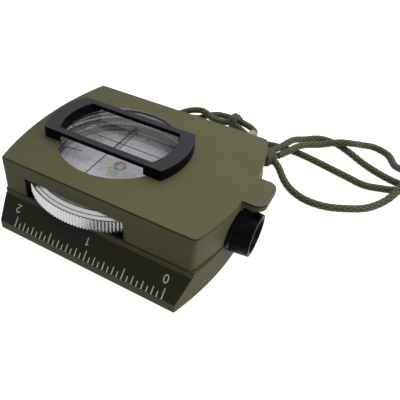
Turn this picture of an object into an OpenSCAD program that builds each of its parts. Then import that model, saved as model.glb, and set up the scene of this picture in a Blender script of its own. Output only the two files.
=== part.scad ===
// Pocket sighting compass: a cast base with two bevelled rulers, a folding lid with a round
// window and a raised sight frame, a turning bezel, a pivoted dial and a focusing eyepiece.
// +X runs along the rulers from the hinge to the eyepiece, +Z is up, and the origin is on the
// underside, in the mouth of the tripod thread and on the axis of the dial.

/* [Case] */
// Width across the feet of the two rulers
foot_w = 64.2; // [62:0.2:70]
// Width of the lid
waist_w = 52; // [51.8:0.2:54]
// Reach of the case from the dial axis to the hinge end
hinge_reach = 27.7; // [27.6:0.1:28]
// Length of the case beyond the bezel, at the eyepiece end
nose_l = 14; // [13.8:0.1:15]
// Radius in plan of the lid's end wall beside the hinge
hinge_end_r = 93; // [88:1:120]
// Radius in plan of the lid's end wall beside the eyepiece
eye_end_r = 80; // [78:1:100]
// Radius in plan of the base's end wall beside the hinge
base_hinge_end_r = 110; // [100:1:140]
// Radius in plan of the base's end wall beside the eyepiece
base_eye_end_r = 98; // [90:1:120]
// Height of the seam between the base and the lid
seam_z = 11.1; // [11:0.1:11.4]
// Height of the upright foot under each ruler
foot_h = 3; // [2:0.1:3.5]
// Height of the upright rim above each ruler
rim_h = 1.4; // [0.8:0.1:1.6]
// Step from the rim out to the top of each ruler
rim_step = 0.4; // [0.2:0.1:0.8]
// Thickness of the base under the capsule
floor_t = 5.4; // [5.2:0.1:5.5]

/* [Lid] */
// Height of the lid's outer face above the underside of the case
lid_top = 23; // [22.8:0.1:24]
// Gap between the lid and the base when shut
seam_gap = 0.15; // [0.1:0.05:0.3]
// Thickness of the lid's roof
roof_t = 2; // [1.9:0.1:2.2]
// Thickness of the lid's side and end walls
lid_wall = 1.7; // [1.4:0.1:1.7]
// Height of the openings in the lid's walls that the bezel reaches through
slot_top = 18.1; // [17.8:0.1:18.6]
// Reach of the side openings towards the hinge
slot_left = 16.4; // [16.4:0.1:17]
// Reach of the side openings towards the eyepiece
slot_right = 17.2; // [17:0.1:18]
// Half width of the end opening beside the hinge
slot_end = 16.2; // [16.1:0.1:16.4]
// Radius of the arch over the eyepiece in the lid's end wall
arch_r = 7; // [6.9:0.1:7.2]
// Length of the thumb tab outside the case
tab_l = 6; // [3.2:0.1:7]
// Width of the thumb tab
tab_w = 12.3; // [10:0.1:14]
// Thickness of the thumb tab
tab_t = 1.9; // [1.5:0.1:2]
// Radius of the thumb tab's corners
tab_corner = 3; // [1.5:0.1:4]

/* [Window and sight frame] */
// Radius of the clear window in the lid
window_r = 19; // [18.4:0.1:19.2]
// Width of the step that the window pane seats on
pane_seat = 0.6; // [0.5:0.1:0.7]
// Thickness of the window pane
pane_t = 0.9; // [0.8:0.1:1]
// Thickness of the spring ring that holds the pane
pane_ring_t = 0.4; // [0.3:0.1:0.4]
// Radius of the curved ends of the sight frame
sight_outer_r = 22.9; // [22.8:0.1:23.2]
// Radius of the curved ends of the sight frame's opening
sight_inner_r = 18.1; // [17:0.1:18.4]
// Width across the sight frame
sight_w = 21.6; // [20.8:0.2:23]
// Width of the sight frame's opening
sight_open_w = 16.8; // [15:0.2:17]
// Height of the sight frame above the lid
sight_h = 3.5; // [3:0.1:4.5]
// Thickness of the sight frame's two rails
rail_t = 1.3; // [1:0.1:1.8]

/* [Bezel] */
// Radius over the crests of the bezel's knurl
bezel_r = 29; // [28.8:0.1:29]
// Depth of the knurl on the bezel
knurl_depth = 0.4; // [0.2:0.1:0.5]
// Number of crests round the bezel
knurl_count = 180; // [120:12:180]
// Gap between the base and the underside of the bezel
bezel_lift = 0.4; // [0.35:0.05:0.5]
// Height of the knurled band
knurl_h = 4.2; // [3.6:0.1:4.3]
// Height of the bezel from its underside to its upper face
bezel_h = 5.7; // [5.6:0.1:5.8]
// Width of the bright cone above the knurled band
cone_w = 1.6; // [1.4:0.1:1.7]
// Width of the graduated ring let into the bezel
scale_w = 3.2; // [2.8:0.1:3.5]
// Thickness of the graduated ring
scale_t = 0.6; // [0.4:0.1:0.6]

/* [Capsule] */
// Width of the washer between the bezel and the base, outside the liquid-filled capsule
washer_w = 2.2; // [2.15:0.05:2.3]
// Thickness of the capsule's wall
capsule_wall = 2.2; // [2.1:0.1:2.4]
// Height of the capsule from its floor to its rim
capsule_h = 9.9; // [9.8:0.1:10]
// Thickness of the capsule's floor
capsule_floor = 1.2; // [1.1:0.1:1.4]
// Thickness of the crystal
crystal_t = 1; // [0.9:0.1:1]
// Thickness of the gasket under the crystal
gasket_t = 0.3; // [0.2:0.05:0.4]
// Width of the step that the gasket and the crystal sit on
crystal_seat = 0.7; // [0.6:0.1:0.8]
// Thickness of the ring that holds the crystal and the bezel down
retainer_t = 0.6; // [0.5:0.1:0.7]

/* [Dial] */
// Radius of the dial card
dial_r = 20.6; // [19:0.1:21]
// Height of the dial card's upper face above the underside of the case
dial_z = 12.9; // [12.8:0.1:13]
// Thickness of the dial card
dial_t = 0.4; // [0.3:0.1:0.5]
// Depth of the graduated skirt below the card
skirt_h = 3.6; // [3:0.1:4]
// Length of the bar magnet under the card
magnet_l = 26; // [20:1:30]
// Width of the bar magnet
magnet_w = 5.6; // [5:0.2:7]
// Radius of the hub that holds the jewel
hub_r = 1.4; // [1.3:0.1:1.8]

/* [Eyepiece] */
// Offset of the eyepiece from the centre line, towards the front ruler
eye_offset = 6; // [5.8:0.1:6.2]
// Height of the eyepiece axis above the underside of the case
eye_z = 12.8; // [12.7:0.1:12.9]
// Radius of the focusing ring at the case
focus_r = 6.8; // [6.5:0.1:6.9]
// Radius of the focusing ring at its rim
focus_rim_r = 6.3; // [6:0.1:6.5]
// Length of the focusing ring
focus_l = 5.5; // [5.4:0.1:6]
// Number of crests round the focusing ring
focus_knurl_count = 60; // [40:4:72]
// Outer radius of the eyepiece barrel
barrel_r = 5; // [4.9:0.05:5.1]
// Travel of the lens cell out of the case
focus_travel = 1.5; // [1:0.1:1.6]
// Radius of the eyepiece lens
lens_r = 3.2; // [3:0.05:3.25]
// Aperture of the sight prism
prism_a = 2.6; // [2.2:0.1:2.7]

/* [Hinge, tripod thread and lanyard eye] */
// Distance of the hinge axis inside the end of the case
hinge_in = 0.7; // [0.6:0.1:0.8]
// Distance of the hinge axis below the seam
hinge_drop = 1.8; // [1.7:0.1:2]
// Radius of the hinge knuckles
knuckle_r = 1.6; // [1.4:0.1:1.6]
// Radius of the hinge pins
pin_r = 0.8; // [0.6:0.1:0.9]
// Length of each knuckle
knuckle_l = 2.2; // [2:0.1:2.3]
// Core radius of the tripod thread
thread_r = 2.55; // [2.4:0.05:2.7]
// Depth of the tripod thread
thread_depth = 4; // [3.5:0.1:4.2]
// Place of the lanyard eye along the rear ruler
lug_x = 27; // [26:0.5:28]

/* [Hidden] */

$fn = 96;

// Overlap of cutting tools past a face
cut = 0.5;
// Radial running clearance of shafts and rings
run = 0.06;
// Clearance round pieces that drop into a pocket
drop = 0.1;
// Clearance between faces that move past each other
swing = 0.3;

eye_reach = bezel_r + nose_l;
tab_reach = eye_reach + tab_l;
foot_y = foot_w / 2;
waist_y = waist_w / 2;
rim_y = waist_y + 0.1;
rim_z = seam_z - rim_h;
lid_z = seam_z + seam_gap;
roof_z = lid_top - roof_t;

bezel_z = seam_z + bezel_lift;
bezel_top = bezel_z + bezel_h;
washer_r = rim_y - 0.3;
bezel_bore_r = washer_r - washer_w;
capsule_r = bezel_bore_r - drop;
capsule_bore_r = capsule_r - capsule_wall;
cone_foot_r = bezel_r - knurl_depth - 0.2;
cone_top_r = cone_foot_r - cone_w;

capsule_top = floor_t + capsule_h;
crystal_r = capsule_bore_r + crystal_seat;
crystal_z = capsule_top - crystal_t;
retainer_r = capsule_r + 0.9;
retainer_bore_r = capsule_bore_r - 0.1;
ledge_z = capsule_top - drop;
scale_outer_r = cone_top_r - 0.3;

capsule_floor_z = floor_t + capsule_floor;
card_z = dial_z - dial_t;
skirt_t = 0.4;
magnet_t = 1.2;
hub_top = dial_z + 0.5;
hub_z = dial_z - 2;
jewel_r = 0.8;
jewel_z = dial_z - 1.6;
jewel_top = dial_z - 0.2;
needle_r = 0.4;
needle_z = capsule_floor_z + 0.3;
needle_tip_z = dial_z - 0.75;
post_r = 2.4;
post_h = 1.6;

slot_w = 0.4;
slot_depth = 0.4;

capsule_screw_ring_r = 17;
capsule_screw_r = 0.8;
capsule_screw_head_r = 1.5;
capsule_screw_head_h = 1;
capsule_screw_top = floor_t + 0.8;
plug_r = 1.2;

eye_y = -eye_offset;
bay_z = 6.1;
prism_x = bezel_r + 0.4;
prism_w = 5;
bracket_x = prism_x + prism_a + 1.8;
bracket_end = eye_reach - 0.6;
boss_r = barrel_r + 1.4;
foot_end = eye_reach - 3.8;
foot_half_w = boss_r + 3;
foot_t = 2;
foot_screw_x = (bracket_x + foot_end) / 2;
foot_screw_y = boss_r + 1.6;
foot_screw_r = 0.8;
foot_screw_z = 3;
foot_screw_head_r = 1.4;
foot_screw_head_h = 0.9;
port_z = 8.3;
port_x = 21.5;
port_in = 3;
port_t = 0.7;
prism_shift = eye_z - port_z - prism_a / 2;
cradle_half_w = prism_w / 2 + 1.2;
sight_hole_r = 1.25;
arch_depth = 6;

focus_x = eye_reach + 0.2;
focus_end = focus_x + focus_l;
barrel_x = bracket_x - 0.6;
barrel_end = focus_x + 2.2;
barrel_bore_r = barrel_r - 1.1;
cell_r = barrel_bore_r - run;
cell_x = focus_x - 2.6;
flange_x = focus_x + 2.8;
flange_end = flange_x + 0.7;
flange_r = 4.4;
clip_t = 0.3;
clip_x = flange_x - clip_t - 0.05;
clip_r = barrel_r + 0.4;
lip_x = flange_end + 0.1;
cell_bore_r = lens_r - 0.6;
lens_edge = 0.9;
lens_sag = 0.3;
lens_dome_r = cell_bore_r - 0.1;
lens_ball_r = (lens_dome_r * lens_dome_r + lens_sag * lens_sag) / (2 * lens_sag);
lens_x = flange_end - 1.85;
lens_ring_t = 0.6;
cell_pin_r = 0.6;
cell_pin_x = focus_x - 1;
cell_pin_end_r = barrel_r - 0.15;

hinge_x = -hinge_reach + hinge_in;
hinge_z = seam_z - hinge_drop;
outer_knuckle_y = slot_end - 1.1;
inner_knuckle_y = outer_knuckle_y - swing - knuckle_l;
pin_l = outer_knuckle_y + knuckle_l - inner_knuckle_y;
arm_out = 1.2;
arm_in = 1.6;
arm_top = lid_z + 1.8;

tab_root = 3;
pane_r = window_r + pane_seat;
pane_z = roof_z + pane_ring_t;
sight_screw_x = 19.9;
sight_screw_y = 7.6;
sight_screw_r = 0.7;
sight_screw_head_r = 1.3;
sight_screw_head_h = 0.8;
sight_screw_in = 2.2;

plate_t = 1.2;
plate_left = hinge_reach - 6.7;
plate_right = eye_reach - 7;
plate_half_w = 25;
plate_corner = 3;
plate_screw_inset = 3.4;
plate_screw_r = 0.7;
plate_screw_head_r = 1.5;
plate_screw_head_h = 0.8;
plate_screw_sink = 0.1;
plate_screw_top = 3.6;
bush_r = 4.2;
bush_top = thread_depth + 0.5;

lug_r = 3;
lug_hole_r = 1.6;
lug_t = 2;
lug_y = foot_y + lug_r;
lug_z = lug_r + 0.2;
stud_r = 1;
stud_in = 3;

cord_r = 1.3;
cord_sides = 8;
// Height of a cord that lies on the table, and of one that lies over another
low = 1.35;
high = 4.3;

// Routes of the lanyard's runs, from end to end, in millimetres
front_loop_route = [
    [37.6, 44.8, 3.6], [41.4, 41.8, 2.6], [45.2, 37.4, low], [49.4, 33.4, low],
    [54.6, 31.2, low], [61, 31.4, low], [67.6, 34.2, low], [73.8, 38.6, low], [78.4, 44.4, 2.4],
    [81, 50.4, 4], [82.2, 57, high], [81.4, 63.4, 3.7], [78, 69.2, low], [74.6, 75, low],
    [69, 77.4, low], [64.2, 74.8, 2.2], [61.4, 70.8, 4], [56.6, 68.2, high], [50.6, 65, 2.8],
    [46.2, 61.2, 3.2], [43.8, 56.4, high], [41.8, 52, 4.2], [39, 47.6, 3.4]
];
inner_loop_route = [
    [36.2, 47.6, 4.6], [38.4, 52.4, 4.6], [39.8, 57, 4.4], [41, 61.6, 3.4], [43.8, 66.6, 1.8],
    [49, 71.4, low], [55.4, 71.4, low], [61.4, 68.2, low], [67.6, 63.8, low], [73.8, 60.6, low],
    [80, 58.6, low], [86, 58.8, low], [91.8, 61.8, low], [97, 58.4, low], [96, 52, low],
    [89.8, 50.4, low], [83.6, 54.4, low], [77.2, 52.4, low], [70.4, 50.6, low],
    [63.4, 52.2, low], [49.4, 55.8, low], [42.4, 56.8, low], [35.4, 56.4, low],
    [28.4, 54.6, low], [14.4, 51.2, low], [7.4, 49.8, low], [1.4, 49.8, low],
    [-2.6, 52.4, low], [-2.4, 56.2, low], [1.6, 58.4, low], [4, 62.4, low], [7.2, 65.2, low],
    [10.2, 65, 1.8], [13.4, 64, 2.6], [16.8, 62.4, 3.4], [20.6, 61.6, 3.2], [23.6, 60.4, 3.2],
    [25.9, 57.8, 3.5], [26.3, 54.2, 4.2], [25.7, 51, 4.7]
];
rear_run_route = [
    [34.2, 46.4, 2.8], [28, 48.2, 1.8], [21.4, 48.4, low], [7.4, 46, low],
    [0.4, 46.2, low], [-5.2, 49.6, low], [-7.4, 54.4, low], [-5.6, 58.4, 1.8], [-1.6, 59.7, 3.4],
    [2.8, 59.6, high], [7, 59, 2.8], [11.4, 58.9, 2.6], [15.6, 59.3, 3.3],
    [20.6, 57.8, 2.4], [23.4, 56.2, 2]
];
eye_loop_route = [
    [35.4, 42.8, 3.6], [34.8, 39.2, 3.2], [32.2, 36.4, 3], [lug_x + 1.6, lug_y, lug_z],
    [lug_x - 1.6, lug_y, lug_z], [21.4, 35.4, 2.4], [17.8, 39.2, low], [19, 43.2, low],
    [23.6, 45, 1.8], [28.6, 44.6, 2.8], [32.6, 44, 3.4]
];

knot_at = [35.9, 44.6, 3.5];
knot_turn = 65;
wrap_at = [16.4, 60.8, 3.5];
wrap_turn = -14;

// A cylinder that lies along X, from one place on X to another
module bar_x(from_x, to_x, y, z, r) {
    translate([from_x, y, z])
        rotate([0, 90, 0])
            cylinder(h = to_x - from_x, r = r);
}

// A cylinder that lies along Y, from one place on Y to another
module bar_y(from_y, to_y, x, z, r) {
    translate([x, to_y, z])
        rotate([90, 0, 0])
            cylinder(h = to_y - from_y, r = r);
}

module disc(from_z, to_z, r) {
    translate([0, 0, from_z])
        cylinder(h = to_z - from_z, r = r);
}

module ring(from_z, to_z, outer_r, inner_r) {
    difference() {
        disc(from_z, to_z, outer_r);
        disc(from_z - cut, to_z + cut, inner_r);
    }
}

// A ring that lies round the eyepiece axis
module eye_ring(from_x, to_x, outer_r, inner_r) {
    difference() {
        bar_x(from_x, to_x, eye_y, eye_z, outer_r);
        bar_x(from_x - cut, to_x + cut, eye_y, eye_z, inner_r);
    }
}

// Everything once as it stands and once mirrored to the other side of the centre line
module both_sides() {
    children();
    mirror([0, 1, 0])
        children();
}

// The plan of the case: two straight sides and two bowed ends
module case_plan(half_w, left, left_r, right, right_r) {
    intersection() {
        translate([left_r - left, 0])
            circle(left_r);
        translate([right - right_r, 0])
            circle(right_r);
        translate([-left - cut, -half_w])
            square([left + right + 2 * cut, 2 * half_w]);
    }
}

// A saw-toothed outline for straight knurling
module knurl_plan(r, depth, count) {
    polygon([
        for (i = [0 : 2 * count - 1])
            let (a = i * 180 / count, q = i % 2 == 0 ? r : r - depth)
                [q * cos(a), q * sin(a)]
    ]);
}

module base_section() {
    polygon([
        [-foot_y, 0], [foot_y, 0], [foot_y, foot_h], [rim_y + rim_step, rim_z], [rim_y, rim_z],
        [rim_y, seam_z], [-rim_y, seam_z], [-rim_y, rim_z], [-rim_y - rim_step, rim_z],
        [-foot_y, foot_h]
    ]);
}

module base_body() {
    intersection() {
        translate([-hinge_reach - 2, 0, 0])
            rotate([90, 0, 90])
                linear_extrude(hinge_reach + eye_reach + 4)
                    base_section();
        linear_extrude(seam_z)
            case_plan(foot_y, hinge_reach, base_hinge_end_r, eye_reach, base_eye_end_r);
    }
}

module base_knuckles() {
    both_sides()
        bar_y(inner_knuckle_y, outer_knuckle_y, hinge_x, hinge_z, knuckle_r);
}

// The notches in the end of the base that the lid's knuckles turn in
module hinge_notches() {
    notch_y = inner_knuckle_y + knuckle_l;
    notch_l = knuckle_l + 2 * swing;
    both_sides() {
        bar_y(notch_y, notch_y + notch_l, hinge_x, hinge_z, knuckle_r + swing);
        translate([hinge_x - arm_out - 2, notch_y, hinge_z])
            cube([arm_out + 2 + arm_in + swing, notch_l, seam_z]);
    }
}

// The pocket for the eyepiece bracket and the channel from the capsule to the prism
module eyepiece_bay() {
    translate([barrel_x - swing, eye_y - foot_half_w - swing, bay_z])
        cube([foot_end - barrel_x + 2 * swing, 2 * (foot_half_w + swing), seam_z]);
    translate([port_x, eye_y - cradle_half_w - drop, bay_z])
        cube([bracket_x - port_x, 2 * (cradle_half_w + drop), seam_z]);
    bar_x(foot_end, eye_reach + 1, eye_y, eye_z, boss_r + swing);
}

module bottom_screw_places() {
    for (x = [-plate_left + plate_screw_inset, plate_right - plate_screw_inset])
        both_sides()
            translate([x, plate_half_w - plate_screw_inset, 0])
                children();
}

module capsule_screw_places() {
    for (a = [90, 210, 330])
        rotate(a)
            translate([capsule_screw_ring_r, 0, 0])
                children();
}

module bracket_screw_places() {
    for (side = [-1, 1])
        translate([foot_screw_x, eye_y + side * foot_screw_y, 0])
            children();
}

module bottom_screw() {
    disc(plate_screw_sink, plate_screw_head_h, plate_screw_head_r);
    disc(plate_screw_head_h, plate_screw_top, plate_screw_r);
}

module capsule_screw() {
    disc(plate_t, plate_t + capsule_screw_head_h, capsule_screw_head_r);
    disc(plate_t + capsule_screw_head_h, capsule_screw_top, capsule_screw_r);
}

module bracket_screw() {
    disc(foot_screw_z, bay_z + foot_t, foot_screw_r);
    disc(bay_z + foot_t, bay_z + foot_t + foot_screw_head_h, foot_screw_head_r);
}

// The driver slot across a screw head
module screw_slot(from_z, head_r) {
    translate([-head_r - cut, -slot_w / 2, from_z])
        cube([2 * (head_r + cut), slot_w, slot_depth]);
}

module base_housing() {
    color("darkolivegreen")
        difference() {
            union() {
                base_body();
                base_knuckles();
            }
            disc(floor_t, seam_z + 5, capsule_r + drop);
            eyepiece_bay();
            translate([0, 0, -cut])
                linear_extrude(plate_t + cut)
                    plate_outline(drop);
            disc(0, bush_top, bush_r);
            bottom_screw_places()
                bottom_screw();
            capsule_screw_places()
                capsule_screw();
            bracket_screw_places()
                disc(foot_screw_z, bay_z + cut, foot_screw_r);
            hinge_notches();
            both_sides()
                bar_y(inner_knuckle_y - cut, inner_knuckle_y + knuckle_l + cut, hinge_x, hinge_z, pin_r);
            bar_y(foot_y - stud_in, foot_y + 1, lug_x, lug_z, stud_r);
        }
}

module plate_outline(grow) {
    half_w = plate_half_w + grow;
    left = plate_left + grow;
    right = plate_right + grow;
    translate([-left, -half_w + plate_corner])
        square([left + right, 2 * (half_w - plate_corner)]);
    translate([-left + plate_corner, -half_w])
        square([left + right - 2 * plate_corner, 2 * half_w]);
    for (x = [-left + plate_corner, right - plate_corner])
        for (side = [-1, 1])
            translate([x, side * (half_w - plate_corner)])
                circle(plate_corner);
}

module bottom_plate() {
    color("olivedrab")
        difference() {
            linear_extrude(plate_t)
                plate_outline(0);
            disc(-cut, plate_t + cut, bush_r);
            bottom_screw_places() {
                disc(-cut, plate_screw_head_h, plate_screw_head_r);
                disc(0, plate_t + cut, plate_screw_r);
            }
        }
}

module bottom_screws() {
    color("silver")
        bottom_screw_places()
            difference() {
                bottom_screw();
                screw_slot(plate_screw_sink, plate_screw_head_r);
            }
}

module tripod_bush() {
    color("goldenrod")
        difference() {
            disc(0, bush_top, bush_r);
            disc(-cut, thread_depth, thread_r);
        }
}

// The eye that the lanyard is tied to, on a stud pressed into the rear of the base
module lanyard_eye() {
    color("black")
        difference() {
            union() {
                bar_x(lug_x - lug_t / 2, lug_x + lug_t / 2, lug_y, lug_z, lug_r);
                bar_y(foot_y - stud_in, lug_y - lug_hole_r - 0.4, lug_x, lug_z, stud_r);
            }
            bar_x(lug_x - lug_t, lug_x + lug_t, lug_y, lug_z, lug_hole_r);
        }
}

module capsule_cup() {
    color("dimgray")
        difference() {
            disc(floor_t, capsule_top, capsule_r);
            disc(capsule_floor_z, capsule_top + cut, capsule_bore_r);
            disc(crystal_z - gasket_t, capsule_top + cut, crystal_r);
            capsule_screw_places()
                disc(floor_t - cut, capsule_screw_top, capsule_screw_r);
            translate([0, -capsule_screw_ring_r, 0])
                disc(floor_t - cut, capsule_floor_z + cut, plug_r);
            translate([port_x - port_in, eye_y - prism_w / 2, port_z])
                cube([capsule_r - port_x + port_in + cut, prism_w, prism_a]);
        }
}

module capsule_screws() {
    color("silver")
        capsule_screw_places()
            difference() {
                capsule_screw();
                screw_slot(plate_t, capsule_screw_head_r);
            }
}

module fill_plug() {
    color("goldenrod")
        translate([0, -capsule_screw_ring_r, 0]) {
            disc(floor_t, capsule_floor_z, plug_r);
            disc(capsule_floor_z, capsule_floor_z + 0.4, plug_r + 0.4);
        }
}

// The pane in the side of the capsule that the eyepiece reads the dial through
module sight_port() {
    color("lightcyan")
        translate([port_x, eye_y - prism_w / 2, port_z])
            cube([port_t, prism_w, prism_a]);
}

module crystal_gasket() {
    color("black")
        ring(crystal_z - gasket_t, crystal_z, crystal_r, capsule_bore_r);
}

module capsule_crystal() {
    color("lightcyan")
        disc(crystal_z, capsule_top, crystal_r);
}

module crystal_retainer() {
    color("silver")
        ring(capsule_top, capsule_top + retainer_t, retainer_r, retainer_bore_r);
}

module pivot_post() {
    color("goldenrod")
        difference() {
            disc(capsule_floor_z, capsule_floor_z + post_h, post_r);
            disc(needle_z, capsule_floor_z + post_h + cut, needle_r);
        }
}

module pivot_needle() {
    tip_l = 1.2;
    color("silver") {
        disc(needle_z, needle_tip_z - tip_l, needle_r);
        translate([0, 0, needle_tip_z - tip_l])
            cylinder(h = tip_l, r1 = needle_r, r2 = 0.05);
    }
}

module bezel_washer() {
    color("gainsboro")
        ring(seam_z, bezel_z, washer_r, bezel_bore_r);
}

module bezel_section() {
    polygon([
        [bezel_bore_r, bezel_z], [cone_foot_r, bezel_z], [cone_foot_r, bezel_z + knurl_h + 0.1],
        [cone_top_r, bezel_top], [scale_outer_r, bezel_top], [scale_outer_r, bezel_top - scale_t],
        [retainer_r + 0.2, bezel_top - scale_t], [retainer_r + 0.2, ledge_z], [bezel_bore_r, ledge_z]
    ]);
}

module bezel_ring() {
    color("silver") {
        rotate_extrude()
            bezel_section();
        difference() {
            translate([0, 0, bezel_z])
                linear_extrude(knurl_h)
                    knurl_plan(bezel_r, knurl_depth, knurl_count);
            disc(bezel_z - cut, bezel_top, cone_foot_r - 0.5);
        }
    }
}

module bezel_scale() {
    color("gainsboro")
        ring(bezel_top - scale_t, bezel_top, scale_outer_r, scale_outer_r - scale_w);
}

module dial_card() {
    color("dimgray") {
        ring(card_z, dial_z, dial_r, hub_r);
        ring(card_z - skirt_h, card_z, dial_r, dial_r - skirt_t);
    }
}

module dial_magnet() {
    color("steelblue")
        difference() {
            translate([-magnet_w / 2, -magnet_l / 2, card_z - magnet_t])
                cube([magnet_w, magnet_l, magnet_t]);
            disc(card_z - magnet_t - cut, card_z + cut, hub_r);
        }
}

module dial_hub() {
    color("goldenrod")
        difference() {
            disc(hub_z, hub_top, hub_r);
            disc(hub_z - cut, jewel_top, jewel_r);
        }
}

module dial_jewel() {
    color("crimson")
        difference() {
            disc(jewel_z, jewel_top, jewel_r);
            translate([0, 0, jewel_z])
                cylinder(h = 0.95, r1 = 0.6, r2 = 0);
        }
}

// The luminous pointer on the dial card
module dial_arrow() {
    color("palegreen")
        translate([0, 0, dial_z])
            linear_extrude(0.15)
                polygon([[-1.3, -6.7], [2.2, -5.3], [1.3, -3.2], [-2.6, -1.5]]);
}

// The prism that lifts the view of the dial's edge to the height of the eyepiece
module sight_prism() {
    color("lightcyan")
        translate([0, eye_y + prism_w / 2, 0])
            rotate([90, 0, 0])
                linear_extrude(prism_w)
                    polygon([
                        [prism_x, port_z], [prism_x + prism_a, port_z + prism_a],
                        [prism_x + prism_a, port_z + prism_a + prism_shift],
                        [prism_x, port_z + prism_shift]
                    ]);
}

module eyepiece_bracket() {
    color("black")
        difference() {
            union() {
                bar_x(bracket_x, bracket_end, eye_y, eye_z, boss_r);
                translate([bracket_x, eye_y - boss_r, bay_z])
                    cube([foot_end - bracket_x, 2 * boss_r, eye_z - bay_z]);
                translate([bracket_x, eye_y - foot_half_w, bay_z])
                    cube([foot_end - bracket_x, 2 * foot_half_w, foot_t]);
                translate([prism_x, eye_y - cradle_half_w, bay_z])
                    cube([bracket_x - prism_x + cut, 2 * cradle_half_w, eye_z - bay_z]);
            }
            sight_prism();
            bar_x(prism_x + prism_a - 0.1, bracket_x + cut, eye_y, eye_z, sight_hole_r);
            bar_x(barrel_x, bracket_end + cut, eye_y, eye_z, barrel_r);
            bracket_screw_places()
                disc(bay_z - cut, bay_z + foot_t + cut, foot_screw_r);
        }
}

module bracket_screws() {
    color("silver")
        bracket_screw_places()
            difference() {
                bracket_screw();
                screw_slot(bay_z + foot_t + foot_screw_head_h - slot_depth, foot_screw_head_r);
            }
}

module eyepiece_barrel() {
    color("black")
        difference() {
            eye_ring(barrel_x, barrel_end, barrel_r, barrel_bore_r);
            translate([cell_pin_x - cell_pin_r - run, eye_y - cell_pin_r - run, eye_z - barrel_r - cut])
                cube([focus_travel + 2 * (cell_pin_r + run), 2 * (cell_pin_r + run), barrel_r]);
        }
}

// The knurled ring that is turned to focus
module focus_ring() {
    color("black")
        difference() {
            intersection() {
                translate([focus_x, eye_y, eye_z])
                    rotate([0, 90, 0])
                        linear_extrude(focus_l)
                            knurl_plan(focus_r + 0.2, 1.5 * knurl_depth, focus_knurl_count);
                translate([focus_x, eye_y, eye_z])
                    rotate([0, 90, 0])
                        cylinder(h = focus_l, r1 = focus_r, r2 = focus_rim_r);
            }
            bar_x(focus_x - cut, lip_x, eye_y, eye_z, barrel_r + run);
            bar_x(clip_x, clip_x + clip_t, eye_y, eye_z, clip_r);
            translate([lip_x - 0.1, eye_y, eye_z])
                rotate([0, 90, 0])
                    cylinder(h = focus_end - lip_x + 0.2, r1 = flange_r - 0.7, r2 = barrel_r + 0.4);
        }
}

// The spring clip that makes the lens cell travel with the focusing ring
module cell_clip() {
    color("silver")
        eye_ring(clip_x, clip_x + clip_t, clip_r, cell_r + 0.15);
}

module lens_cell() {
    color("dimgray")
        difference() {
            union() {
                bar_x(cell_x, flange_end, eye_y, eye_z, cell_r);
                bar_x(flange_x, flange_end, eye_y, eye_z, flange_r);
            }
            bar_x(cell_x - cut, flange_end, eye_y, eye_z, cell_bore_r);
            bar_x(lens_x, flange_end + cut, eye_y, eye_z, lens_r);
            cell_pin_bar(cell_bore_r / 2);
        }
}

// The pin of the lens cell, from its outer end in to a distance from the eyepiece axis
module cell_pin_bar(inner_r) {
    translate([cell_pin_x, eye_y, eye_z - cell_pin_end_r])
        cylinder(h = cell_pin_end_r - inner_r, r = cell_pin_r);
}

// The pin that keeps the lens cell from turning, in a slot of the barrel
module cell_pin() {
    color("silver")
        cell_pin_bar(cell_bore_r + 0.15);
}

module eyepiece_lens() {
    middle_x = lens_x + lens_edge / 2;
    ball_out = lens_ball_r - lens_edge / 2 - lens_sag;
    color("lightcyan") {
        bar_x(lens_x, lens_x + lens_edge, eye_y, eye_z, lens_r);
        intersection() {
            bar_x(lens_x - lens_sag, lens_x + lens_edge + lens_sag, eye_y, eye_z, lens_dome_r);
            translate([middle_x + ball_out, eye_y, eye_z])
                rotate([0, 90, 0])
                    sphere(lens_ball_r);
            translate([middle_x - ball_out, eye_y, eye_z])
                rotate([0, 90, 0])
                    sphere(lens_ball_r);
        }
    }
}

module lens_retainer() {
    color("black")
        eye_ring(lens_x + lens_edge, lens_x + lens_edge + lens_ring_t, lens_r, lens_r - 0.5);
}

module hinge_pins() {
    color("silver")
        both_sides()
            bar_y(inner_knuckle_y, inner_knuckle_y + pin_l, hinge_x, hinge_z, pin_r);
}

module lid_plan(inset) {
    case_plan(waist_y - inset, hinge_reach - inset, hinge_end_r - inset, eye_reach - inset,
        eye_end_r - inset);
}

module tab_plan() {
    half_w = tab_w / 2;
    translate([eye_reach - tab_root, -half_w])
        square([tab_l + tab_root - tab_corner, tab_w]);
    translate([eye_reach - tab_root, -half_w + tab_corner])
        square([tab_l + tab_root, tab_w - 2 * tab_corner]);
    for (side = [-1, 1])
        translate([tab_reach - tab_corner, side * (half_w - tab_corner)])
            circle(tab_corner);
}

module lid_knuckles() {
    both_sides() {
        bar_y(outer_knuckle_y, outer_knuckle_y + knuckle_l, hinge_x, hinge_z, knuckle_r);
        translate([hinge_x - arm_out, outer_knuckle_y, hinge_z])
            cube([arm_out + arm_in, knuckle_l, arm_top - hinge_z]);
    }
}

// The openings in the lid's walls for the bezel and the eyepiece
module lid_openings() {
    translate([-slot_left, -waist_y - cut, lid_z - cut])
        cube([slot_left + slot_right, waist_w + 2 * cut, slot_top - lid_z + cut]);
    translate([-hinge_reach - cut, -slot_end, lid_z - cut])
        cube([hinge_reach, 2 * slot_end, slot_top - lid_z + cut]);
    bar_x(eye_reach - arch_depth, eye_reach + cut, eye_y, eye_z, arch_r);
    translate([eye_reach - arch_depth, eye_y - arch_r, lid_z - cut])
        cube([arch_depth + cut, 2 * arch_r, eye_z - lid_z + cut]);
}

module sight_screw_places() {
    for (x = [-sight_screw_x, sight_screw_x])
        both_sides()
            translate([x, sight_screw_y, 0])
                children();
}

module sight_screw() {
    disc(roof_z, roof_z + sight_screw_head_h, sight_screw_head_r);
    disc(roof_z + sight_screw_head_h, lid_top + sight_screw_in, sight_screw_r);
}

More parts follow.
